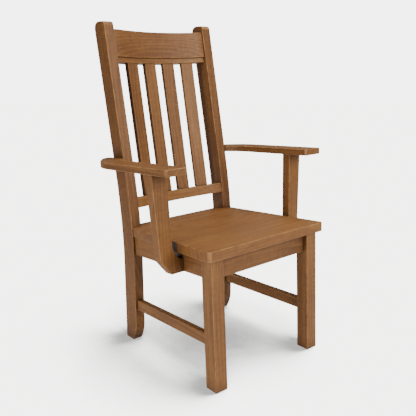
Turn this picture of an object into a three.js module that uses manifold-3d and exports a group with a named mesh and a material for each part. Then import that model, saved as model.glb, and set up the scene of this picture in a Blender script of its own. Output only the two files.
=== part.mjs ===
// Wooden armchair: slatted back, dished solid seat, board arms on J-shaped arm posts.
// Millimetres, +Z up. The chair faces -Y, and left and right are as seen from the front.
// The origin is on the floor, under the middle of the bounding box.
import * as THREE from "three";
import { mergeVertices } from "three/addons/utils/BufferGeometryUtils.js";
import Module from "manifold-3d";

const wasm = await Module();
wasm.setup();

const DEGREE = Math.PI / 180;
const SIDES = { left: -1, right: 1 };

// ---------------------------------------------------------------- driving dimensions

const gap = 0.3; // glue line between faces that meet
const arris = 1.5; // eased edge on posts, legs, arms and seat

const legSpread = 215; // middle of the chair to the middle of a leg
const seatHeight = 457; // front top edge of the seat above the floor
const seatTilt = 3.45 * DEGREE; // the seat frame and the front legs lean back together

const seatThickness = 32;
const seatSideOverhang = 19; // past the front legs' outer faces
const seatTaper = 27.5; // each side, from front to rear
const seatFrontOverhang = 15; // past the front legs
const seatTongue = 38; // past the front face of the rear posts
const seatCornerRadius = 10;
const seatDishDepth = 7;
const seatDishMargin = 34; // rim left flat around the dish
const seatDishRings = 9;
const seatDishFacets = 40;

const frontLegSection = 48;

const postWidth = 38;
const postDepth = 66;
const postAboveSeat = 666; // top of the posts above the seat's front edge
const postSetback = 419; // front leg's face to rear post's face
const postRake = 11.6 * DEGREE;
const postBendBelowSeat = 172; // the lower leg starts to bend back here
const postBendAboveSeat = 168;
const postBendShift = 37; // how far back the bend carries the face
const postToeSetback = 22; // foot's front face curves back this far
const postToeHeight = 70;
const postTopBackRadius = 34;
const postTopFrontRadius = 12;

const apronHeight = 66;
const apronThickness = 20;
const frontApronRecess = 16; // behind the front legs' faces
const sideApronRecess = 13; // inside the front legs' outer faces
const rearApronRecess = 22; // behind the rear posts' faces
const tenonLength = 22;
const tenonThickness = 9;
const crossTenonLength = 11; // stops short of the side aprons' tenons
const tenonShoulder = 8; // rail left above and below a tenon
const tenonRoot = 10; // overlap of a tenon with its own rail

const stretcherWidth = 22;
const stretcherHeight = 37;
const stretcherFrontTop = 174;
const stretcherRearTop = 160;

const panelRake = 10.9 * DEGREE; // slats and back rails
const panelAboveSeat = 293; // height of the panel's own origin, on the faces of the slats
const panelRecess = 42.3; // behind the rear posts' faces there
const backBow = 24; // how far the rails curve back at their middle
const shoulderLength = 15; // straight end of each curved rail
const lowerRailBottom = -267;
const lowerRailHeight = 36;
const lowerRailLead = 14; // rail's face ahead of the slats' faces
const upperRailBottom = 238;
const upperRailHeight = 18;
const upperRailLead = 2;
const backRailThickness = 34;
const crestHeight = 93;
const crestThickness = 30;
const crestLead = 7; // stands proud of the rail below it
const railTenonThickness = 16;

const slatWidth = 48;
const slatCount = 4;
const slatEndGap = 50.5; // from a post to the nearest slat
const slatThickness = 17;
const slatTenon = 12; // depth that a slat enters each rail
const slatTenonShoulder = 4;
const slatTenonCheek = 2; // cut from each face of the slat

const armThickness = 21.5;
const armRise = 3.85 * DEGREE; // towards the front
const armAboveSeat = 238.5; // front top edge of the arm above the seat's front edge
const armFrontSetback = 79; // behind the front legs' faces at seat level
const armSpread = 47; // middle of the leg to the arm's inner edge
const armWidth = 78;
const armOuterTaper = 3; // narrowing of the outer edge towards the rear
const armWaist = 60; // the arm sweeps in to the post over this length
const armPastPost = 87; // from the post's face to the arm's rear end
const armTailWidth = 40; // outside the post, where the tail starts to round over
const armTailRound = 16;
const armTailNose = 24;
const armTailCorner = 8;
const armCornerRadius = 7;
// curve handles of the arm's edges, as shares of the waist's length
const armOuterHandles = [1, 1.6];
const armInnerHandles = [0.4, 0.2];
const armOuterPull = [2, 35]; // how far those handles lie inside the outer edge

const armPostSetback = 148; // face of the arm post, in the seat frame
const armPostThickness = 33;
const armPostInset = 12; // from the arm's inner edge to the top of the arm post
const armPostTopWidth = 57;
const armPostFootWidth = 47;
const armPostSplay = 7; // outwards from foot to top
const armPostHookRise = 42; // hollow that passes under the edge of the seat
const armPostHookHeight = 44; // part of the hook that bears on the side apron
const armPostToeRise = 49; // diagonal cut on the outer lower corner
const armPostToeRun = 40;
const armPostTenon = 12;
const armPostTenonInset = 9; // shoulder all round the tenon

const blockLong = 95; // corner block, measured along each apron
const blockShort = 60;
const blockHeight = 42;
const blockScrewShift = 4; // from the middle of the block towards the corner's diagonal

const screwHeadRadius = 4.2;
const screwHeadDepth = 3;
const screwRadius = 2.1;
const screwTip = 3;
const seatScrewLength = 60;
const blockScrewLength = 32;
const armScrewLength = 48;
const armScrewSink = 1; // head below the inner face of the apron
const counterboreLength = 40; // runs out through the face
const screwFacets = 12;

const dowelRadius = 5;
const dowelLength = 32;
const dowelSpacing = 34;
const dowelFacets = 20;

// ---------------------------------------------------------------- derived dimensions

const postHeight = seatHeight + postAboveSeat;
const postBendStart = seatHeight - postBendBelowSeat;
const postBendEnd = seatHeight + postBendAboveSeat;
const panelHeight = seatHeight + panelAboveSeat;
const armTopFront = seatHeight + armAboveSeat;

const legInner = legSpread - frontLegSection / 2;
const legOuter = legSpread + frontLegSection / 2;
const postInner = legSpread - postWidth / 2;
const postOuter = legSpread + postWidth / 2;
const seatFrontHalf = legOuter + seatSideOverhang;
const seatRearHalf = seatFrontHalf - seatTaper;
const slatPitch = (2 * (postInner - slatEndGap) - slatWidth) / (slatCount - 1);
const armInner = legSpread + armSpread;
const armOuter = armInner + armWidth;
const armPostInnerTop = armInner + armPostInset;
const armPostOuterTop = armPostInnerTop + armPostTopWidth;
const armPostInnerFoot = armPostInnerTop - armPostSplay;
const armPostOuterFoot = armPostInnerFoot + armPostFootWidth;

// ---------------------------------------------------------------- materials

const timber = (color) => new THREE.MeshStandardMaterial({ color, roughness: 0.55, metalness: 0 });
const woodFinish = timber(0x8a5f38);
const seatFinish = timber(0x8f6339);
const hiddenWood = timber(0xb08a5c);
const steelFinish = new THREE.MeshStandardMaterial({ color: 0xb9b6ad, roughness: 0.35, metalness: 1 });

// ---------------------------------------------------------------- solids

// A closed geometry, moved by an optional matrix, as a solid for joining and cutting.
function solidOf(geometry, matrix = new THREE.Matrix4()) {
  const source = geometry.index ? geometry.toNonIndexed() : geometry.clone();
  const bare = new THREE.BufferGeometry();
  bare.setAttribute("position", source.getAttribute("position"));
  bare.applyMatrix4(matrix);
  const merged = mergeVertices(bare, 1e-4);
  return new wasm.Manifold(
    new wasm.Mesh({
      numProp: 3,
      vertProperties: merged.attributes.position.array,
      triVerts: new Uint32Array(merged.index.array),
    }),
  );
}

function geometryOf(solid) {
  const { numProp, vertProperties, triVerts } = solid.getMesh();
  const geometry = new THREE.BufferGeometry();
  const count = vertProperties.length / numProp;
  const positions = new Float32Array(count * 3);
  for (let i = 0; i < count; i++) {
    positions.set(vertProperties.subarray(i * numProp, i * numProp + 3), i * 3);
  }
  geometry.setAttribute("position", new THREE.BufferAttribute(positions, 3));
  geometry.setIndex(new THREE.BufferAttribute(new Uint32Array(triVerts), 1));
  geometry.computeVertexNormals();
  return geometry;
}

// Joins a geometry, given in the target's own frame, to a mesh.
function join(target, geometry) {
  target.geometry = geometryOf(solidOf(target.geometry).add(solidOf(geometry)));
}

// Cuts a geometry out of a mesh; the cutter stands in the frame of `frame`.
function cut(target, geometry, frame) {
  target.updateWorldMatrix(true, false);
  frame.updateWorldMatrix(true, false);
  const toTarget = target.matrixWorld.clone().invert().multiply(frame.matrixWorld);
  target.geometry = geometryOf(solidOf(target.geometry).subtract(solidOf(geometry, toTarget)));
}

function boxBetween(low, high) {
  const size = high.map((value, axis) => value - low[axis]);
  const box = new THREE.BoxGeometry(...size);
  return box.translate(...low.map((value, axis) => value + size[axis] / 2));
}

// Gives a rail a tenon between two corners and cuts its mortise, a little larger, in the host.
function tenon(rail, host, low, high) {
  join(rail, boxBetween(low, high));
  const grown = boxBetween(low.map((v) => v - gap), high.map((v) => v + gap));
  cut(host, grown, rail);
}

function piece(name, geometry, material, parent) {
  const mesh = new THREE.Mesh(geometry, material);
  mesh.name = name;
  parent.add(mesh);
  return mesh;
}

function outline(points) {
  return new THREE.Shape(points.map(([a, b]) => new THREE.Vector2(a, b)));
}

function extrude(shape, depth, edge = 0) {
  const geometry = new THREE.ExtrudeGeometry(shape, {
    depth: depth - 2 * edge,
    curveSegments: 12,
    bevelEnabled: edge > 0,
    bevelThickness: edge,
    bevelSize: edge,
    bevelOffset: -edge,
    bevelSegments: 1,
  });
  return geometry.translate(0, 0, edge);
}

// A side view (y, z), given thickness along X and centred on x = 0.
function sidePrism(shape, width, edge) {
  const turn = new THREE.Matrix4().makeBasis(
    new THREE.Vector3(0, 1, 0),
    new THREE.Vector3(0, 0, 1),
    new THREE.Vector3(1, 0, 0),
  );
  return extrude(shape, width, edge).translate(0, 0, -width / 2).applyMatrix4(turn);
}

// A front view (x, z), given thickness along Y from y = 0 backwards.
function frontPrism(shape, depth, edge) {
  const turn = new THREE.Matrix4().makeBasis(
    new THREE.Vector3(1, 0, 0),
    new THREE.Vector3(0, 0, 1),
    new THREE.Vector3(0, -1, 0),
  );
  return extrude(shape, depth, edge).applyMatrix4(turn).translate(0, depth, 0);
}

// ---------------------------------------------------------------- frames

const chair = new THREE.Group();

// The seat frame: z = 0 is the seat's underside, y = 0 the front legs' front faces.
const seatFrame = new THREE.Group();
seatFrame.rotation.x = -seatTilt;
seatFrame.position.z =
  seatHeight - seatThickness * Math.cos(seatTilt) - seatFrontOverhang * Math.sin(seatTilt);
chair.add(seatFrame);

// The arms: z = 0 is their top face, y = 0 their front end.
const armFrame = new THREE.Group();
armFrame.rotation.x = -armRise;
armFrame.position.set(0, armFrontSetback, armTopFront);
chair.add(armFrame);

// A point of the chair (y, z) in the seat frame, and back.
function intoSeatFrame(y, z) {
  const dz = z - seatFrame.position.z;
  return [
    y * Math.cos(seatTilt) - dz * Math.sin(seatTilt),
    y * Math.sin(seatTilt) + dz * Math.cos(seatTilt),
  ];
}

function outOfSeatFrame(y, z) {
  return [
    y * Math.cos(seatTilt) + z * Math.sin(seatTilt),
    seatFrame.position.z - y * Math.sin(seatTilt) + z * Math.cos(seatTilt),
  ];
}

// ---------------------------------------------------------------- rear posts

// The bend of a post's face, from upright below to the rake above.
const bendRise = postBendEnd - postBendStart;
const bendHandle = bendRise / 3;
const postBend = new THREE.CubicBezierCurve(
  new THREE.Vector2(postSetback, postBendStart),
  new THREE.Vector2(postSetback, postBendStart + bendHandle),
  new THREE.Vector2(
    postSetback + postBendShift - bendHandle * Math.tan(postRake),
    postBendEnd - bendHandle,
  ),
  new THREE.Vector2(postSetback + postBendShift, postBendEnd),
);

// The front face of a rear post at a height.
function postFace(z) {
  if (z <= postBendStart) return postSetback;
  if (z >= postBendEnd) {
    return postSetback + postBendShift + (z - postBendEnd) * Math.tan(postRake);
  }
  return postBend.getPoint((z - postBendStart) / bendRise).x;
}

const heights = (low, high, steps) =>
  Array.from({ length: steps + 1 }, (_, i) => low + ((high - low) * i) / steps);

function postOutline() {
  const bendHeights = heights(postBendStart, postBendEnd, 16);
  const face = bendHeights.map((z) => [postFace(z), z]);
  const back = bendHeights.map((z) => [postFace(z) + postDepth, z]).reverse();
  const topFace = postFace(postHeight);
  const frontRound = postHeight - postTopFrontRadius;
  const backRound = postHeight - postTopBackRadius;

  const shape = new THREE.Shape();
  shape.moveTo(postSetback + postToeSetback, 0);
  shape.quadraticCurveTo(postSetback, postToeHeight / 2, postSetback, postToeHeight);
  for (const [y, z] of face) shape.lineTo(y, z);
  shape.lineTo(postFace(frontRound), frontRound);
  shape.quadraticCurveTo(topFace, postHeight, topFace + postTopFrontRadius, postHeight);
  shape.lineTo(topFace + postDepth - postTopBackRadius, postHeight);
  shape.quadraticCurveTo(
    topFace + postDepth,
    postHeight,
    postFace(backRound) + postDepth,
    backRound,
  );
  for (const [y, z] of back) shape.lineTo(y, z);
  shape.lineTo(postSetback + postDepth, 0);
  shape.closePath();
  return shape;
}

const posts = {};
for (const [side, sign] of Object.entries(SIDES)) {
  const geometry = sidePrism(postOutline(), postWidth, arris);
  posts[side] = piece("rear_post_" + side, geometry, woodFinish, chair);
  posts[side].position.x = sign * legSpread;
}

// The back panel: y = 0 is the slats' front faces at the middle of the chair.
const backPanel = new THREE.Group();
backPanel.rotation.x = -panelRake;
backPanel.position.set(0, postFace(panelHeight) + panelRecess, panelHeight);
chair.add(backPanel);

// ---------------------------------------------------------------- front legs

function frontLegOutline() {
  // the foot is cut level with the floor, so its front and back edges end at different heights
  const footAt = (y) => (y * Math.sin(seatTilt) - seatFrame.position.z) / Math.cos(seatTilt);
  return outline([
    [0, footAt(0)],
    [frontLegSection, footAt(frontLegSection)],
    [frontLegSection, -gap],
    [0, -gap],
  ]);
}

const legs = {};
for (const [side, sign] of Object.entries(SIDES)) {
  const geometry = sidePrism(frontLegOutline(), frontLegSection, arris);
  legs[side] = piece("front_leg_" + side, geometry, woodFinish, seatFrame);
  legs[side].position.x = sign * legSpread;
}

// ---------------------------------------------------------------- aprons

const tenonLow = -apronHeight + tenonShoulder;
const tenonHigh = -tenonShoulder;
const sideApronOuter = legOuter - sideApronRecess;
const sideApronInner = sideApronOuter - apronThickness;
const sideTenonMiddle = sideApronOuter - apronThickness / 2;

// Post face in the seat frame, at a depth below the seat's underside.
function postFaceInSeatFrame(depth) {
  const [, z] = outOfSeatFrame(postSetback, depth);
  return intoSeatFrame(postFace(z), z)[0];
}

function sideApronOutline() {
  const rearEnd = heights(-apronHeight, -gap, 6).map((z) => [postFaceInSeatFrame(z) - gap, z]);
  return outline([[frontLegSection + gap, -gap], [frontLegSection + gap, -apronHeight], ...rearEnd]);
}

const sideAprons = {};
for (const [side, sign] of Object.entries(SIDES)) {
  const geometry = sidePrism(sideApronOutline(), apronThickness).translate(
    sign * sideTenonMiddle,
    0,
    0,
  );
  const apron = piece("side_apron_" + side, geometry, woodFinish, seatFrame);
  const inner = sign * sideTenonMiddle - tenonThickness / 2;
  const outer = sign * sideTenonMiddle + tenonThickness / 2;
  const face = postFaceInSeatFrame(-apronHeight / 2);
  tenon(
    apron,
    legs[side],
    [inner, frontLegSection - tenonLength, tenonLow],
    [outer, frontLegSection + tenonRoot, tenonHigh],
  );
  tenon(
    apron,
    posts[side],
    [inner, face - tenonRoot, tenonLow],
    [outer, face + tenonLength, tenonHigh],
  );
  sideAprons[side] = apron;
}

// A straight apron across the chair between two supports, tenoned into both.
function crossApron(name, face, reach, hosts) {
  const low = [-reach + gap, face, -apronHeight];
  const high = [reach - gap, face + apronThickness, -gap];
  const apron = piece(name, boxBetween(low, high), woodFinish, seatFrame);
  const middle = face + apronThickness / 2;
  for (const [side, sign] of Object.entries(SIDES)) {
    const ends = [sign * (reach - tenonRoot), sign * (reach + crossTenonLength)];
    ends.sort((a, b) => a - b);
    tenon(
      apron,
      hosts[side],
      [ends[0], middle - tenonThickness / 2, tenonLow],
      [ends[1], middle + tenonThickness / 2, tenonHigh],
    );
  }
  return apron;
}

const frontApron = crossApron("front_apron", frontApronRecess, legInner, legs);
const rearApronFace = postFaceInSeatFrame(-apronHeight / 2) + rearApronRecess;
const rearApron = crossApron("rear_apron", rearApronFace, postInner, posts);

// ---------------------------------------------------------------- side stretchers

// The back face of a front leg at a height.
function legBack(z) {
  const drop = (z - seatFrame.position.z) / Math.cos(seatTilt);
  return frontLegSection / Math.cos(seatTilt) + drop * Math.sin(seatTilt);
}

function stretcherOutline() {
  const front = stretcherFrontTop;
  const rear = stretcherRearTop;
  return outline([
    [legBack(front - stretcherHeight) + gap, front - stretcherHeight],
    [postFace(rear) - gap, rear - stretcherHeight],
    [postFace(rear) - gap, rear],
    [legBack(front) + gap, front],
  ]);
}

for (const [side, sign] of Object.entries(SIDES)) {
  const stretcher = piece(
    "side_stretcher_" + side,
    sidePrism(stretcherOutline(), stretcherWidth),
    woodFinish,
    chair,
  );
  stretcher.position.x = sign * legSpread;
  const half = tenonThickness / 2;
  const frontLow = stretcherFrontTop - stretcherHeight + tenonShoulder;
  const rearLow = stretcherRearTop - stretcherHeight + tenonShoulder;
  const tenonHeight = stretcherHeight - 2 * tenonShoulder;
  const legFaceAt = legBack(frontLow);
  tenon(
    stretcher,
    legs[side],
    [-half, legFaceAt - tenonLength, frontLow],
    [half, legFaceAt + tenonRoot, frontLow + tenonHeight],
  );
  tenon(
    stretcher,
    posts[side],
    [-half, postSetback - tenonRoot, rearLow],
    [half, postSetback + tenonLength, rearLow + tenonHeight],
  );
}

// ---------------------------------------------------------------- seat

const seatBack = postFaceInSeatFrame(seatThickness / 2);
const seatRear = seatBack + seatTongue;
// The notches clear the post's face over the seat's whole thickness.
const seatNotch =
  Math.min(...heights(0, seatThickness, 4).map((depth) => postFaceInSeatFrame(depth))) - gap;

function seatOutline() {
  const front = seatFrontHalf;
  const rear = seatRearHalf;
  const tongue = postInner - gap;
  const r = seatCornerRadius;
  const shape = new THREE.Shape();
  shape.moveTo(-front + r, -seatFrontOverhang);
  shape.lineTo(front - r, -seatFrontOverhang);
  shape.quadraticCurveTo(front, -seatFrontOverhang, front, -seatFrontOverhang + r);
  shape.lineTo(rear, seatNotch);
  shape.lineTo(tongue, seatNotch);
  shape.lineTo(tongue, seatRear);
  shape.lineTo(-tongue, seatRear);
  shape.lineTo(-tongue, seatNotch);
  shape.lineTo(-rear, seatNotch);
  shape.lineTo(-front, -seatFrontOverhang + r);
  shape.quadraticCurveTo(-front, -seatFrontOverhang, -front + r, -seatFrontOverhang);
  return shape;
}

const seat = piece("seat", extrude(seatOutline(), seatThickness, arris), seatFinish, seatFrame);

// The dish: a shallow bowl turned on a vertical axis and stretched to the seat.
function seatDish() {
  const profile = heights(0, 1, seatDishRings).map(
    (t) => new THREE.Vector2(t, -seatDishDepth * (1 - t * t) ** 2),
  );
  profile.push(new THREE.Vector2(1, seatDishDepth), new THREE.Vector2(0, seatDishDepth));
  const bowl = new THREE.LatheGeometry(profile, seatDishFacets);
  const halfWidth = seatRearHalf - seatDishMargin;
  const halfDepth = (seatRear + seatFrontOverhang) / 2 - seatDishMargin;
  bowl.rotateX(Math.PI / 2);
  bowl.scale(halfWidth, halfDepth, 1);
  return bowl.translate(0, (seatRear - seatFrontOverhang) / 2, seatThickness);
}

cut(seat, seatDish(), seatFrame);

// ---------------------------------------------------------------- curved back rails

const railReach = postInner - gap;
const bowReach = railReach - shoulderLength;
const bowRadius = (bowReach * bowReach + backBow * backBow) / (2 * backBow);

// A rail bowed backwards: straight shoulders at the ends, an arc between them.
function bowedBand(lead, thickness) {
  const half = Math.asin(bowReach / bowRadius);
  const centre = -lead - bowRadius;
  const face = -lead - backBow;
  const shape = new THREE.Shape();
  shape.moveTo(-railReach, face);
  shape.lineTo(-bowReach, face);
  shape.absarc(0, centre, bowRadius, Math.PI / 2 + half, Math.PI / 2 - half, true);
  shape.lineTo(railReach, face);
  shape.lineTo(railReach, face + thickness);
  shape.lineTo(bowReach, face + thickness);
  shape.absarc(0, centre + thickness, bowRadius, Math.PI / 2 - half, Math.PI / 2 + half, false);
  shape.lineTo(-railReach, face + thickness);
  shape.closePath();
  return shape;
}

function bowedRail(name, bottom, height, lead, thickness) {
  const geometry = extrude(bowedBand(lead, thickness), height);
  const rail = piece(name, geometry.translate(0, 0, bottom), woodFinish, backPanel);
  const shoulder = Math.min(tenonShoulder, height / 4);
  const middle = -lead - backBow + thickness / 2;
  for (const [side, sign] of Object.entries(SIDES)) {
    const ends = [sign * (postInner - tenonRoot), sign * (postInner + tenonLength)];
    ends.sort((a, b) => a - b);
    tenon(
      rail,
      posts[side],
      [ends[0], middle - railTenonThickness / 2, bottom + shoulder],
      [ends[1], middle + railTenonThickness / 2, bottom + height - shoulder],
    );
  }
  return rail;
}

const upperRailTop = upperRailBottom + upperRailHeight;
const lowerRailTop = lowerRailBottom + lowerRailHeight;
const lowerRail = bowedRail(
  "lower_back_rail",
  lowerRailBottom,
  lowerRailHeight,
  lowerRailLead,
  backRailThickness,
);
const upperRail = bowedRail(
  "upper_back_rail",
  upperRailBottom,
  upperRailHeight,
  upperRailLead,
  backRailThickness,
);
bowedRail("crest_rail", upperRailTop + gap, crestHeight, crestLead, crestThickness);

// ---------------------------------------------------------------- back slats

for (let i = 0; i < slatCount; i++) {
  const across = (i - (slatCount - 1) / 2) * slatPitch;
  const angle = Math.asin(across / bowRadius);
  const length = upperRailBottom - lowerRailTop - 2 * gap;
  const board = new THREE.BoxGeometry(slatWidth, slatThickness, length);
  board.translate(0, slatThickness / 2, lowerRailTop + gap + length / 2);
  const slat = piece("back_slat_" + (i + 1), board, woodFinish, backPanel);
  slat.position.set(across, -bowRadius * (1 - Math.cos(angle)), 0);
  slat.rotation.z = -angle;
  const half = slatWidth / 2 - slatTenonShoulder;
  const low = [-half, slatTenonCheek];
  const high = [half, slatThickness - slatTenonCheek];
  tenon(
    slat,
    lowerRail,
    [...low, lowerRailTop - slatTenon],
    [...high, lowerRailTop + tenonRoot],
  );
  tenon(
    slat,
    upperRail,
    [...low, upperRailBottom - tenonRoot],
    [...high, upperRailBottom + slatTenon],
  );
}

// ---------------------------------------------------------------- arms

// The post's front face where the arm passes it, in the arm frame.
const armDropAtPost = (postSetback - armFrontSetback) * Math.tan(armRise);
const postFaceAtArm = (postFace(armTopFront - armDropAtPost) - armFrontSetback) / Math.cos(armRise);
const armEnd = postFaceAtArm + armPastPost;

function armOutline(sign) {
  const r = armCornerRadius;
  const cheek = postOuter + gap;
  const waist = postFaceAtArm - armWaist;
  const rearOuter = armOuter - armOuterTaper;
  const x = (value) => sign * value;
  const shape = new THREE.Shape();
  shape.moveTo(x(armInner + r), 0);
  shape.lineTo(x(armOuter - r), 0);
  shape.quadraticCurveTo(x(armOuter), 0, x(armOuter), r);
  // the outer edge sweeps in behind the post
  shape.lineTo(x(rearOuter), waist);
  shape.bezierCurveTo(
    x(rearOuter - armOuterPull[0]),
    waist + armOuterHandles[0] * armWaist,
    x(rearOuter - armOuterPull[1]),
    waist + armOuterHandles[1] * armWaist,
    x(cheek + armTailWidth),
    armEnd - armTailRound,
  );
  shape.quadraticCurveTo(x(cheek + armTailNose), armEnd, x(cheek + armTailCorner), armEnd);
  // the inner edge bears on the post, then sweeps out in front of it
  shape.lineTo(x(cheek), armEnd - armTailCorner);
  shape.lineTo(x(cheek), postFaceAtArm);
  shape.bezierCurveTo(
    x(cheek + armTailCorner),
    postFaceAtArm - armInnerHandles[0] * armWaist,
    x(armInner),
    waist + armInnerHandles[1] * armWaist,
    x(armInner),
    waist - armWaist / 2,
  );
  shape.lineTo(x(armInner), r);
  shape.quadraticCurveTo(x(armInner), 0, x(armInner + r), 0);
  return shape;
}

const arms = {};
for (const [side, sign] of Object.entries(SIDES)) {
  const board = extrude(armOutline(sign), armThickness, arris).translate(0, 0, -armThickness);
  arms[side] = piece("arm_" + side, board, woodFinish, armFrame);
}

// ---------------------------------------------------------------- arm posts

// The underside of the arms at a setback in the seat frame.
function armUndersideInSeatFrame(setback) {
  const pitch = armRise - seatTilt;
  const [y0, z0] = intoSeatFrame(armFrontSetback, armTopFront);
  return z0 - armThickness / Math.cos(pitch) - (setback - y0) * Math.tan(pitch);
}

const armPostBack = armPostSetback + armPostThickness;
const armPostTop = Math.min(
  armUndersideInSeatFrame(armPostSetback),
  armUndersideInSeatFrame(armPostBack),
) - gap;

function armPostOutline(sign) {
  const x = (value) => sign * value;
  const cheek = sideApronOuter + gap;
  const hookReach = armPostInnerFoot - cheek;
  const hookTop = -apronHeight + armPostHookHeight;
  const toeTop = -apronHeight + armPostToeRise;
  const shape = new THREE.Shape();
  shape.moveTo(x(cheek), -apronHeight);
  shape.lineTo(x(armPostOuterFoot - armPostToeRun), -apronHeight);
  shape.lineTo(x(armPostOuterFoot), toeTop);
  shape.lineTo(x(armPostOuterTop), armPostTop);
  shape.lineTo(x(armPostInnerTop), armPostTop);
  shape.lineTo(x(armPostInnerFoot), hookTop + armPostHookRise);
  shape.quadraticCurveTo(
    x(armPostInnerFoot - hookReach / 8),
    hookTop + armPostHookRise / 3,
    x(cheek + hookReach / 6),
    hookTop,
  );
  shape.lineTo(x(cheek), hookTop);
  shape.closePath();
  return shape;
}

const armPosts = {};
for (const [side, sign] of Object.entries(SIDES)) {
  const geometry = frontPrism(armPostOutline(sign), armPostThickness, arris);
  const post = piece("arm_post_" + side, geometry.translate(0, armPostSetback, 0), woodFinish, seatFrame);
  const ends = [armPostInnerTop + armPostTenonInset, armPostOuterTop - armPostTenonInset]
    .map((reach) => sign * reach)
    .sort((a, b) => a - b);
  tenon(
    post,
    arms[side],
    [ends[0], armPostSetback + armPostTenonInset, armPostTop - tenonRoot],
    [ends[1], armPostBack - armPostTenonInset, armPostTop + armPostTenon],
  );
  armPosts[side] = post;
}

// ---------------------------------------------------------------- corner blocks

// A brace across a corner of the seat frame; x and y run from the corner into the frame.
function cornerBlock(name, cornerY, inward, sign) {
  const cornerX = sideApronInner - gap;
  const point = (alongX, alongY) => [sign * (cornerX - alongX), cornerY + inward * alongY];
  const shape = outline([
    point(0, blockShort),
    point(0, blockLong),
    point(blockLong, 0),
    point(blockShort, 0),
  ]);
  const geometry = extrude(shape, blockHeight).translate(0, 0, -blockHeight - gap);
  return piece(name, geometry, hiddenWood, seatFrame);
}

const blocks = [];
for (const [side, sign] of Object.entries(SIDES)) {
  const frontY = frontApronRecess + apronThickness + gap;
  const rearY = rearApronFace - gap;
  blocks.push({
    mesh: cornerBlock("corner_block_front_" + side, frontY, 1, sign),
    name: "front_" + side,
    cornerY: frontY,
    inward: 1,
    sign,
    crossRail: frontApron,
    sideRail: sideAprons[side],
  });
  blocks.push({
    mesh: cornerBlock("corner_block_rear_" + side, rearY, -1, sign),
    name: "rear_" + side,
    cornerY: rearY,
    inward: -1,
    sign,
    crossRail: rearApron,
    sideRail: sideAprons[side],
  });
}

// ---------------------------------------------------------------- screws and dowels

// A screw with its head's top at the origin, pointing along +Y.
function screwGeometry(length, clearance = 0) {
  const shank = screwRadius + clearance;
  const head = screwHeadRadius + clearance;
  const end = length + clearance;
  const profile = [
    [0, -clearance],
    [head, -clearance],
    [head, screwHeadDepth + clearance],
    [shank, screwHeadDepth + clearance],
    [shank, end - screwTip],
    [0, end],
  ].map(([radius, along]) => new THREE.Vector2(radius, along));
  return new THREE.LatheGeometry(profile, screwFacets);
}

// Drives a screw from a point along a direction, boring every piece that it enters.
function screw(name, length, at, direction, through) {
  const mesh = piece(name, screwGeometry(length), steelFinish, seatFrame);
  mesh.position.set(...at);
  mesh.quaternion.setFromUnitVectors(
    new THREE.Vector3(0, 1, 0),
    new THREE.Vector3(...direction).normalize(),
  );
  const boreRadius = screwHeadRadius + gap;
  const counterbore = new THREE.CylinderGeometry(boreRadius, boreRadius, counterboreLength, screwFacets);
  counterbore.translate(0, -counterboreLength / 2, 0);
  for (const target of through) cut(target, screwGeometry(length, gap), mesh);
  cut(through[0], counterbore, mesh);
  return mesh;
}

for (const { mesh, name, cornerY, inward, sign, crossRail, sideRail } of blocks) {
  const middle = (blockShort + blockLong) / 4; // half-way along the block, between its faces
  const cornerX = sideApronInner - gap;
  const lift = -blockHeight / 2;
  screw(
    "seat_screw_" + name,
    seatScrewLength,
    [sign * (cornerX - middle), cornerY + inward * middle, -blockHeight - gap],
    [0, 0, 1],
    [mesh, seat],
  );
  const reach = (blockShort + blockLong) / 2 - blockScrewShift;
  const setIn = blockLong - reach; // slanted face stands this far from the apron there
  screw(
    "block_screw_side_" + name,
    blockScrewLength,
    [sign * (cornerX - setIn + screwHeadDepth), cornerY + inward * reach, lift],
    [sign, 0, 0],
    [mesh, sideRail],
  );
  screw(
    "block_screw_cross_" + name,
    blockScrewLength,
    [sign * (cornerX - reach), cornerY + inward * (setIn - screwHeadDepth), lift],
    [0, -inward, 0],
    [mesh, crossRail],
  );
}

for (const [side, sign] of Object.entries(SIDES)) {
  const middle = armPostSetback + armPostThickness / 2;
  const spread = armPostHookHeight / 4;
  const hookMiddle = -apronHeight + armPostHookHeight / 2;
  for (const [place, lift] of [["lower", -spread], ["upper", spread]]) {
    screw(
      "arm_post_screw_" + place + "_" + side,
      armScrewLength,
      [sign * (sideApronInner + armScrewSink), middle, hookMiddle + lift],
      [sign, 0, 0],
      [sideAprons[side], armPosts[side]],
    );
  }
}

// Two dowels pin the tail of each arm to the outer face of its rear post.
for (const [side, sign] of Object.entries(SIDES)) {
  for (const [place, step] of [["front", 0], ["rear", 1]]) {
    const dowel = piece(
      "arm_dowel_" + place + "_" + side,
      new THREE.CylinderGeometry(dowelRadius, dowelRadius, dowelLength, dowelFacets),
      hiddenWood,
      armFrame,
    );
    dowel.rotation.z = Math.PI / 2;
    const along = postFaceAtArm + postDepth / 2 + (step - 0.5) * dowelSpacing;
    dowel.position.set(sign * (postOuter + gap / 2), along, -armThickness / 2);
    const socket = new THREE.CylinderGeometry(
      dowelRadius + gap,
      dowelRadius + gap,
      dowelLength + 2 * gap,
      dowelFacets,
    );
    cut(posts[side], socket, dowel);
    cut(arms[side], socket, dowel);
  }
}

// ---------------------------------------------------------------- origin

chair.updateMatrixWorld(true);
const bounds = new THREE.Box3().setFromObject(chair, true);
chair.position.y = -(bounds.min.y + bounds.max.y) / 2;
chair.updateMatrixWorld(true);

const group = new THREE.Group();
group.add(chair);

export default group;
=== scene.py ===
"""A wooden armchair in a white studio: eased boards, a dished seat and lacquered brown hardwood."""
from math import pi, radians

import bmesh
import bpy
from mathutils import Euler, Matrix, Vector


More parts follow.
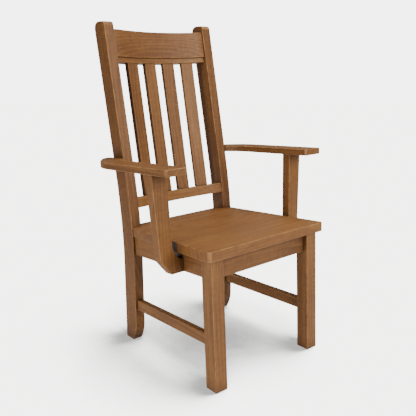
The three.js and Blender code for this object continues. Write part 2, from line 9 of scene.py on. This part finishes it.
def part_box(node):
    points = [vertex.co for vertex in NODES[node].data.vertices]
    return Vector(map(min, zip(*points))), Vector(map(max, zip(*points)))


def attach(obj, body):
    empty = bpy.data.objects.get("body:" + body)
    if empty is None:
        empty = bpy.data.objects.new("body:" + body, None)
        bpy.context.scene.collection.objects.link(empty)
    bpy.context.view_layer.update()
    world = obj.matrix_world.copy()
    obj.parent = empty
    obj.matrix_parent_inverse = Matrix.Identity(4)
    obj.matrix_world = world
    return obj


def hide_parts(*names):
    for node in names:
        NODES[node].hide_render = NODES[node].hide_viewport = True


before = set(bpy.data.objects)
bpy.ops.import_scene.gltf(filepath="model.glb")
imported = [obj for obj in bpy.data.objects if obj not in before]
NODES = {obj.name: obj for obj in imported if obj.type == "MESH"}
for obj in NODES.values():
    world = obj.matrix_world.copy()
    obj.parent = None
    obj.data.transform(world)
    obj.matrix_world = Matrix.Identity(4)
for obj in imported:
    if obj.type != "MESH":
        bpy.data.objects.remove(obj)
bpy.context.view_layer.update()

# ------------------------------------------------------------------ driving values, metres

SIDES = ("left", "right")
SEAT_TILT = radians(3.45)
BACK_RAKE = radians(10.9)
POST_RAKE = radians(11.6)
ARM_RISE = radians(3.85)

SHARP = radians(24)  # edges that turn more than this are eased
FLAT = radians(0.6)  # faces that turn less than this are joined
SAME_POINT = 2e-6
EASE_CHAMFERED = 0.0008  # for boards whose corners already carry a chamfer
EASE_SQUARE = 0.0016
EASE_HIDDEN = EASE_SQUARE / 2  # blocks and dowels
EASE_SCREW = EASE_SQUARE / 6
EASE_STEPS = 3
EASE_STEPS_SCREW = 2
ARRIS_WIDTH = 0.0028  # faces narrower than this belong to the lighter edge, worn and with painted highlight

CAMERA_AZIMUTH = radians(-40.6)
CAMERA_PITCH = radians(14.3)
CAMERA_LENS = 49.22  # millimetres
CAMERA_SENSOR = 36.0  # millimetres
CAMERA_SIGHT = 60.0
CAMERA_FROM_FRONT_FEET = Vector((-1.2680, -1.1610, 0.9859))

FLOOR_RADIUS = 14.0
FLOOR_SIDES = 96
AMBIENT = 0.20
STUDIO_WHITE = 5.2  # brightness of the backdrop and the floor as the camera sees them
SHADE_REACH = 0.48  # how far from the chair the floor still darkens
SHADE_FULL = 0.70  # open share of the sky where the shade is deepest
SHADE_NONE = 0.97  # open share of the sky where the shade ends
SHADE_FLOOR = 0.12  # share of the brightness left in the deepest shade
SHADE_LEAN = (radians(36), radians(34), 0.0)  # turns the shading towards the chair's left and rear

# ------------------------------------------------------------------ node helpers

NOISE_ROUGHNESS = 0.55
MIX_BASE = 6  # places of the colour sockets on a Mix node
MIX_COLOUR = 7
MIX_RESULT = 2


class Shader:
    """A material's node tree, with short ways to add and join nodes."""

    def __init__(self, name):
        self.material = bpy.data.materials.new(name)
        self.material.use_nodes = True
        self.tree = self.material.node_tree
        self.surface = self.tree.nodes["Principled BSDF"]

    def node(self, kind, **settings):
        made = self.tree.nodes.new("ShaderNode" + kind)
        for key, value in settings.items():
            setattr(made, key, value)
        return made

    def feed(self, socket, value):
        if isinstance(value, bpy.types.NodeSocket):
            self.tree.links.new(value, socket)
        else:
            socket.default_value = value

    def math(self, operation, *values):
        made = self.node("Math", operation=operation)
        for socket, value in zip(made.inputs, values):
            self.feed(socket, value)
        return made.outputs[0]

    def mapped(self, vector, location=(0, 0, 0), rotation=(0, 0, 0), scale=(1, 1, 1), kind="TEXTURE"):
        made = self.node("Mapping", vector_type=kind)
        self.feed(made.inputs["Vector"], vector)
        made.inputs["Location"].default_value = location
        made.inputs["Rotation"].default_value = rotation
        made.inputs["Scale"].default_value = scale
        return made.outputs["Vector"]

    def noise(self, vector, scale, detail):
        made = self.node("TexNoise")
        self.feed(made.inputs["Vector"], vector)
        made.inputs["Scale"].default_value = scale
        made.inputs["Detail"].default_value = detail
        made.inputs["Roughness"].default_value = NOISE_ROUGHNESS
        return made.outputs["Fac"]

    def ramp(self, value, *stops):
        made = self.node("ValToRGB")
        self.feed(made.inputs["Fac"], value)
        elements = made.color_ramp.elements
        while len(elements) < len(stops):
            elements.new(0.5)
        for element, (position, colour) in zip(elements, stops):
            element.position = position
            element.color = (*colour, 1.0)
        return made.outputs["Color"]

    def level(self, value, low, high, out_low=0.0, out_high=1.0):
        made = self.node("MapRange", interpolation_type="SMOOTHSTEP")
        self.feed(made.inputs["Value"], value)
        made.inputs["From Min"].default_value = low
        made.inputs["From Max"].default_value = high
        made.inputs["To Min"].default_value = out_low
        made.inputs["To Max"].default_value = out_high
        return made.outputs["Result"]

    def mix(self, factor, base, colour):
        """`base` is a socket and `colour` a plain colour."""
        made = self.node("Mix", data_type="RGBA")
        self.feed(made.inputs["Factor"], factor)
        self.feed(made.inputs[MIX_BASE], base)
        self.feed(made.inputs[MIX_COLOUR], (*colour, 1.0))
        return made.outputs[MIX_RESULT]

    def bump(self, height, strength, distance):
        made = self.node("Bump")
        self.feed(made.inputs["Height"], height)
        made.inputs["Strength"].default_value = strength
        made.inputs["Distance"].default_value = distance
        self.tree.links.new(made.outputs["Normal"], self.surface.inputs["Normal"])


# ------------------------------------------------------------------ materials

LACQUERED = {
    "dark": (0.125, 0.048, 0.0120),
    "middle": (0.210, 0.087, 0.0220),
    "light": (0.280, 0.126, 0.0340),
    "pore": (0.055, 0.019, 0.0040),
    "arris": (0.400, 0.205, 0.070),
    "roughness": 0.50,
    "coat": 0.04,
}
UNFINISHED = {
    "dark": (0.300, 0.185, 0.090),
    "middle": (0.400, 0.262, 0.140),
    "light": (0.480, 0.330, 0.190),
    "pore": (0.200, 0.115, 0.050),
    "arris": (0.500, 0.350, 0.210),
    "roughness": 0.72,
    "coat": 0.0,
}
ZINC = {"dark": (0.40, 0.39, 0.36), "light": (0.62, 0.61, 0.58), "smooth": 0.26, "rough": 0.46}
ZINC_GRAIN = 420.0  # repeats in a metre
PAPER = {"dark": (0.80, 0.80, 0.80), "light": (0.82, 0.82, 0.82), "glow": (1.0, 0.985, 0.965, 1.0)}
PAPER_GRAIN = 2.0
MOTTLE_LOW = 0.3
MOTTLE_HIGH = 0.7

COAT_ROUGHNESS = 0.34
WOOD_SPECULAR = 0.30
SMOOTHER = 0.06  # how far the roughness goes below and above that of the finish
ROUGHER = 0.10

# repeats in a metre, along the grain and twice across it
WANDER_SCALE = (1.6, 7.0, 7.0)
STREAK_SCALE = (5.0, 190.0, 190.0)
FIBRE_SCALE = (16.0, 850.0, 850.0)
CLOUD_SCALE = (3.0, 11.0, 11.0)
CURL_SCALE = (95.0, 34.0, 34.0)
WEAR_AND_HIGHLIGHT_SCALE = 38.0

WANDER_REACH = (0.0, 0.030, 0.022)  # how far the middle of the log strays
RING_WAVER = 1.4
RING_DETAIL = 2.0
RING_DETAIL_SCALE = 1.5
RING_RANGE = (0.10, 0.95)
PORE_RANGE = (0.56, 0.74)
NOISE_RANGE = (0.25, 0.75)
ROUGH_RANGE = (0.2, 0.8)
WEAR_AND_HIGHLIGHT_RANGE = (0.30, 0.70)

# what each pattern adds to the tone, which runs from light to dark
PLAIN_TONE = 0.04
RING_TONE = 0.20
STREAK_TONE = 0.26
CLOUD_TONE = 0.34
CURL_TONE = 0.18
LIGHT_AT = 0.08
MIDDLE_AT = 0.52
DARK_AT = 1.0

PORE_DEPTH = 0.52
WEAR_AND_HIGHLIGHT_LEAST = 0.12
WEAR_AND_HIGHLIGHT_MOST = 0.62
PAINTED_SHADE_REACH = 0.075  # how far from a corner the painted shade reaches
PAINTED_SHADE_RANGE = (0.22, 0.95)
PAINTED_SHADE_DEPTH = 0.80

STREAK_RELIEF = 0.6
PORE_RELIEF = -0.7
RING_RELIEF = -0.25
RELIEF_STRENGTH = 0.35
RELIEF_HEIGHT = 0.0004


def wood(name, finish, centre, grain, seed, pith=(0.05, 0.03), shade=0.0, figure=0.10, rings=26.0):
    """Wood whose grain runs along local X, in a frame at `centre` turned by the angles `grain`.

    `pith` is the offset of the log's middle from the board, across the grain. The tone offset darkens
    the whole board, partly its own tone and partly painted shade for how light falls on it, and a larger
    `figure` shortens the arches that the growth rings make.
    """
    shader = Shader(name)
    coordinates = shader.node("TexCoord").outputs["Object"]
    board = shader.mapped(coordinates, location=centre, rotation=grain)

    # slow wander of the log along its length, so that flat faces cut the rings in arches
    shifted = shader.mapped(board, location=(seed, *pith), kind="POINT")

    def grained(scale, detail):
        return shader.noise(shader.mapped(shifted, scale=scale, kind="POINT"), 1.0, detail)

    sway = shader.node("VectorMath", operation="MULTIPLY_ADD")
    shader.feed(sway.inputs[0], grained(WANDER_SCALE, 2.0))
    sway.inputs[1].default_value = WANDER_REACH
    trunk = shader.mapped(board, location=(0.0, *pith), scale=(figure, 1.0, 1.0), kind="POINT")
    shader.feed(sway.inputs[2], trunk)

    growth = shader.node("TexWave", wave_type="RINGS", rings_direction="SPHERICAL", wave_profile="SAW")
    shader.feed(growth.inputs["Vector"], sway.outputs[0])
    growth.inputs["Scale"].default_value = rings
    growth.inputs["Distortion"].default_value = RING_WAVER
    growth.inputs["Detail"].default_value = RING_DETAIL
    growth.inputs["Detail Scale"].default_value = RING_DETAIL_SCALE
    ring = shader.level(growth.outputs["Fac"], *RING_RANGE)

    streaks = grained(STREAK_SCALE, 4.0)
    fibres = grained(FIBRE_SCALE, 2.0)
    clouds = grained(CLOUD_SCALE, 2.0)
    curl = grained(CURL_SCALE, 3.0)
    pores = shader.level(fibres, *PORE_RANGE)

    # tone: growth rings, long streaks, broad clouds and short curls across the grain
    tone = shader.math("MULTIPLY_ADD", ring, RING_TONE, PLAIN_TONE + shade)
    for pattern, weight in ((streaks, STREAK_TONE), (clouds, CLOUD_TONE), (curl, CURL_TONE)):
        tone = shader.math("ADD", tone, shader.level(pattern, *NOISE_RANGE, 0.0, weight))
    colour = shader.ramp(
        tone, (LIGHT_AT, finish["light"]), (MIDDLE_AT, finish["middle"]), (DARK_AT, finish["dark"])
    )
    colour = shader.mix(shader.math("MULTIPLY", pores, PORE_DEPTH), colour, finish["pore"])

    # the edges are lighter, unevenly: partly the finish rubbed thin, partly painted highlight
    edge = shader.node("Attribute", attribute_name="arris").outputs["Fac"]
    patchy = shader.level(shader.noise(shifted, WEAR_AND_HIGHLIGHT_SCALE, 3.0), *WEAR_AND_HIGHLIGHT_RANGE, WEAR_AND_HIGHLIGHT_LEAST, WEAR_AND_HIGHLIGHT_MOST)
    colour = shader.mix(shader.math("MULTIPLY", edge, patchy), colour, finish["arris"])

    # painted shade: the colour darkens in corners, where boards meet and little light reaches
    painted_shade_probe = shader.node("AmbientOcclusion", samples=12)
    painted_shade_probe.inputs["Distance"].default_value = PAINTED_SHADE_REACH
    painted_shade = shader.level(painted_shade_probe.outputs["AO"], *PAINTED_SHADE_RANGE, PAINTED_SHADE_DEPTH, 0.0)
    colour = shader.mix(painted_shade, colour, finish["pore"])
    shader.feed(shader.surface.inputs["Base Color"], colour)

    smooth = finish["roughness"] - SMOOTHER
    rough = finish["roughness"] + ROUGHER
    shader.feed(shader.surface.inputs["Roughness"], shader.level(streaks, *ROUGH_RANGE, smooth, rough))
    shader.surface.inputs["Coat Weight"].default_value = finish["coat"]
    shader.surface.inputs["Coat Roughness"].default_value = COAT_ROUGHNESS
    shader.surface.inputs["Metallic"].default_value = 0.0
    shader.surface.inputs["Specular IOR Level"].default_value = WOOD_SPECULAR

    streak_relief = shader.math("MULTIPLY", streaks, STREAK_RELIEF)
    pore_relief = shader.math("MULTIPLY", pores, PORE_RELIEF)
    ring_relief = shader.math("MULTIPLY", ring, RING_RELIEF)
    relief = shader.math("ADD", shader.math("ADD", streak_relief, pore_relief), ring_relief)
    shader.bump(relief, RELIEF_STRENGTH, RELIEF_HEIGHT)
    return shader.material


def zinc():
    """Zinc-plated steel with faint turning marks."""
    shader = Shader("zinc")
    coordinates = shader.node("TexCoord").outputs["Object"]
    mottle = shader.noise(coordinates, ZINC_GRAIN, 4.0)
    colour = shader.ramp(mottle, (MOTTLE_LOW, ZINC["dark"]), (MOTTLE_HIGH, ZINC["light"]))
    shader.feed(shader.surface.inputs["Base Color"], colour)
    rough = shader.level(mottle, *ROUGH_RANGE, ZINC["smooth"], ZINC["rough"])
    shader.feed(shader.surface.inputs["Roughness"], rough)
    shader.surface.inputs["Metallic"].default_value = 1.0
    shader.bump(mottle, 0.15, 0.0002)
    return shader.material


def studio_white():
    """White paper that glows for the camera, with painted shade where the chair hides the sky."""
    shader = Shader("studio_paper")
    mottle = shader.noise(shader.node("TexCoord").outputs["Object"], PAPER_GRAIN, 2.0)
    colour = shader.ramp(mottle, (MOTTLE_LOW, PAPER["dark"]), (MOTTLE_HIGH, PAPER["light"]))
    shader.feed(shader.surface.inputs["Base Color"], colour)
    shader.surface.inputs["Roughness"].default_value = 0.9
    shader.surface.inputs["Specular IOR Level"].default_value = 0.1

    leaned = shader.node("VectorRotate", rotation_type="EULER_XYZ")
    shader.feed(leaned.inputs["Vector"], shader.node("TexCoord").outputs["Normal"])
    leaned.inputs["Rotation"].default_value = SHADE_LEAN
    # painted shadow: the floor's glow dims where the chair hides the sky, leaning to the chair's left and
    # rear
    openness = shader.node("AmbientOcclusion", samples=24)
    shader.feed(openness.inputs["Normal"], leaned.outputs[0])
    openness.inputs["Distance"].default_value = SHADE_REACH
    darkest = STUDIO_WHITE * SHADE_FLOOR
    glow = shader.level(openness.outputs["AO"], SHADE_FULL, SHADE_NONE, darkest, STUDIO_WHITE)
    painted_floor_glow = shader.node("Emission")
    painted_floor_glow.inputs["Color"].default_value = PAPER["glow"]
    shader.feed(painted_floor_glow.inputs["Strength"], glow)
    seen = shader.node("MixShader")
    shader.feed(seen.inputs[0], shader.node("LightPath").outputs["Is Camera Ray"])
    shader.feed(seen.inputs[1], shader.surface.outputs[0])
    shader.feed(seen.inputs[2], painted_floor_glow.outputs[0])
    output = shader.tree.nodes["Material Output"]
    shader.feed(output.inputs["Surface"], seen.outputs[0])
    return shader.material


# ------------------------------------------------------------------ boards


def narrow(face):
    """Whether a face is a strip no wider than an eased edge."""
    longest = max(edge.calc_length() for edge in face.edges)
    return face.calc_area() < longest * ARRIS_WIDTH


def eased_board(node, ease, material, steps=EASE_STEPS, kind="_wood"):
    """The node's own shape with every edge rounded over; the rounded edges are marked for a lighter colour,
    partly worn finish and partly painted highlight.
    """
    mesh = bpy.data.meshes.new(node + kind)
    shape = bmesh.new()
    shape.from_mesh(NODES[node].data)
    bmesh.ops.remove_doubles(shape, verts=shape.verts, dist=SAME_POINT)
    bmesh.ops.dissolve_limit(
        shape, angle_limit=FLAT, verts=shape.verts, edges=shape.edges, delimit={"NORMAL"}
    )
    sharp = [
        edge
        for edge in shape.edges
        if len(edge.link_faces) == 2 and edge.calc_face_angle_signed(0.0) > SHARP
    ]
    eased = bmesh.ops.bevel(
        shape,
        geom=sharp,
        offset=ease,
        offset_type="OFFSET",
        segments=steps,
        profile=0.5,
        affect="EDGES",
        clamp_overlap=False,
        loop_slide=True,
    )
    rounded = set(eased["faces"])
    arris = shape.loops.layers.float.new("arris")
    for face in shape.faces:
        face.smooth = True
        wear_and_highlight = 1.0 if face in rounded or narrow(face) else 0.0
        for corner in face.loops:
            corner[arris] = wear_and_highlight
    shape.to_mesh(mesh)
    shape.free()

    piece = bpy.data.objects.new(node + kind, mesh)
    bpy.context.scene.collection.objects.link(piece)
    mesh.materials.append(material)
    normals = piece.modifiers.new("flat_faces_stay_flat", "WEIGHTED_NORMAL")
    normals.keep_sharp = True
    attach(piece, "root")
    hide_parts(node)


def middle_of(node):
    """The middle of the node's box."""
    low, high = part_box(node)
    return (low + high) / 2


def leaning(grain, tilt):
    """A grain direction turned with a board that leans back by `tilt`."""
    return (Matrix.Rotation(-tilt, 3, "X") @ Euler(grain).to_matrix()).to_euler()


UPRIGHT = (0.0, -pi / 2, 0.0)  # grain running up
ACROSS = (0.0, 0.0, 0.0)  # grain running from side to side
LENGTHWAYS = (0.0, 0.0, pi / 2)  # grain running from front to back
LEG_GRAIN = leaning(UPRIGHT, SEAT_TILT)
POST_GRAIN = leaning(UPRIGHT, POST_RAKE)
SLAT_GRAIN = leaning(UPRIGHT, BACK_RAKE)
RAIL_GRAIN = leaning(ACROSS, BACK_RAKE)
SEAT_GRAIN = leaning(ACROSS, SEAT_TILT)
APRON_GRAIN = leaning(LENGTHWAYS, SEAT_TILT)
ARM_GRAIN = leaning(LENGTHWAYS, ARM_RISE)


def make_board(node, ease, grain, seed, finish=LACQUERED, slot="frame_wood", **figure):
    material = wood(node + "_grain", finish, middle_of(node), grain, seed, **figure)
    eased_board(node, ease, material)


# name, easing, grain, seed, place of the pith and tone (partly painted shade) of each board of the frame
PAIRED_BOARDS = (
    ("front_leg_", EASE_CHAMFERED, LEG_GRAIN, 0.7, (0.05, 0.09), 0.0),
    ("rear_post_", EASE_CHAMFERED, POST_GRAIN, 1.9, (0.11, 0.03), 0.36),
    ("side_apron_", EASE_SQUARE, APRON_GRAIN, 4.3, (0.04, 0.02), 0.06),
    ("side_stretcher_", EASE_SQUARE, LENGTHWAYS, 5.9, (0.07, 0.03), 0.0),
    ("arm_", EASE_CHAMFERED, ARM_GRAIN, 7.7, (0.02, 0.05), 0.18),
    ("arm_post_", EASE_CHAMFERED, LEG_GRAIN, 8.8, (0.01, 0.04), 0.0),
)
SINGLE_BOARDS = (
    ("front_apron", EASE_SQUARE, SEAT_GRAIN, 10.4, (0.05, 0.01), 0.18),
    ("rear_apron", EASE_SQUARE, SEAT_GRAIN, 11.3, (0.04, 0.02), 0.0),
)
SIDE_SEED = 3.1  # sets the grain of one side apart from the other's
SLAT_SEED = 1.7


def make_frame():
    for index, side in enumerate(SIDES):
        for name, ease, grain, seed, pith, shade in PAIRED_BOARDS:
            make_board(name + side, ease, grain, SIDE_SEED * index + seed, pith=pith, shade=shade)
    for name, ease, grain, seed, pith, shade in SINGLE_BOARDS:
        make_board(name, ease, grain, seed, pith=pith, shade=shade)


def make_back():
    arched = {"pith": (0.012, 0.052), "figure": 0.26, "rings": 30.0}
    make_board("crest_rail", EASE_SQUARE, RAIL_GRAIN, 12.6, shade=0.24, **arched)
    make_board("upper_back_rail", EASE_SQUARE, RAIL_GRAIN, 13.5, pith=(0.06, 0.03))
    make_board("lower_back_rail", EASE_SQUARE, RAIL_GRAIN, 14.1, pith=(0.05, 0.04))
    slats = sorted(name for name in NODES if name.startswith("back_slat_"))
    for index, slat in enumerate(slats):
        seed = 15.0 + SLAT_SEED * index
        # the slats grow lighter from left to right: painted shade
        shade = 0.20 - 0.07 * index
        pith = (0.03 + 0.01 * index, 0.05)
        make_board(slat, EASE_SQUARE, SLAT_GRAIN, seed, pith=pith, shade=shade)


def make_seat():
    material = wood(
        "seat_grain",
        LACQUERED,
        middle_of("seat"),
        SEAT_GRAIN,
        seed=20.3,
        pith=(-0.10, 0.045),
        shade=0.06,
        figure=0.34,
        rings=15.0,
    )
    eased_board("seat", EASE_CHAMFERED, material)


def make_hidden_wood():
    for index, name in enumerate(sorted(NODES)):
        if name.startswith(("corner_block_", "arm_dowel_")):
            make_board(name, EASE_HIDDEN, ACROSS, 30.0 + index, UNFINISHED, "hidden_wood")


def make_screws():
    steel = zinc()
    for name in sorted(NODES):
        if "_screw_" in name:
            eased_board(name, EASE_SCREW, steel, steps=EASE_STEPS_SCREW, kind="_steel")


# ------------------------------------------------------------------ studio


def make_floor():
    """A wide round sheet of white paper under the chair."""
    sheet = bmesh.new()
    bmesh.ops.create_circle(sheet, cap_ends=True, cap_tris=False, segments=FLOOR_SIDES, radius=FLOOR_RADIUS)
    mesh = bpy.data.meshes.new("studio_floor")
    sheet.to_mesh(mesh)
    sheet.free()
    mesh.materials.append(studio_white())
    floor = bpy.data.objects.new("studio_floor", mesh)
    bpy.context.scene.collection.objects.link(floor)


def area_light(name, place, aim, size, power, sheen=True):
    """A soft box at `place` turned to `aim`; without `sheen` nothing glossy reflects it."""
    data = bpy.data.lights.new(name, "AREA")
    data.shape = "RECTANGLE"
    data.size, data.size_y = size
    data.energy = power
    lamp = bpy.data.objects.new(name, data)
    lamp.visible_glossy = sheen
    lamp.location = place
    lamp.rotation_euler = (Vector(aim) - Vector(place)).to_track_quat("-Z", "Y").to_euler()
    bpy.context.scene.collection.objects.link(lamp)


def make_world():
    """Dim grey light from all round, and plain white behind the chair."""
    world = bpy.data.worlds.new("studio")
    world.use_nodes = True
    tree = world.node_tree
    around = tree.nodes["Background"]
    around.inputs["Color"].default_value = (1.0, 1.0, 1.0, 1.0)
    around.inputs["Strength"].default_value = AMBIENT
    behind = tree.nodes.new("ShaderNodeBackground")
    behind.inputs["Color"].default_value = (1.0, 1.0, 1.0, 1.0)
    behind.inputs["Strength"].default_value = STUDIO_WHITE
    seen = tree.nodes.new("ShaderNodeMixShader")
    path = tree.nodes.new("ShaderNodeLightPath")
    tree.links.new(path.outputs["Is Camera Ray"], seen.inputs[0])
    tree.links.new(around.outputs[0], seen.inputs[1])
    tree.links.new(behind.outputs[0], seen.inputs[2])
    tree.links.new(seen.outputs[0], tree.nodes["World Output"].inputs["Surface"])
    bpy.context.scene.world = world


def make_light():
    make_world()
    chair = (0.0, 0.0, 0.5)
    below_arm = (0.0, -0.12, 0.4)
    area_light("key", place=(0.6, -3.3, 2.0), aim=chair, size=(1.8, 1.8), power=105.0)
    area_light("side", place=(-3.2, -0.45, 0.8), aim=below_arm, size=(0.6, 2.2), power=62.0)
    area_light("top", place=(0.0, -0.2, 3.4), aim=chair, size=(2.6, 2.6), power=104.0)
    area_light("rim", place=(2.6, 2.8, 0.9), aim=chair, size=(1.6, 1.6), power=55.0, sheen=False)


def make_camera():
    front_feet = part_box("front_leg_left")[0].y
    data = bpy.data.cameras.new("camera")
    data.sensor_width = CAMERA_SENSOR
    data.lens = CAMERA_LENS
    data.clip_end = CAMERA_SIGHT
    camera = bpy.data.objects.new("camera", data)
    camera.location = CAMERA_FROM_FRONT_FEET + Vector((0.0, front_feet, 0.0))
    camera.rotation_euler = (pi / 2 - CAMERA_PITCH, 0.0, CAMERA_AZIMUTH)
    bpy.context.scene.collection.objects.link(camera)
    bpy.context.scene.camera = camera


make_camera()
make_light()
make_floor()
make_frame()
make_back()
make_seat()
make_hidden_wood()
make_screws()
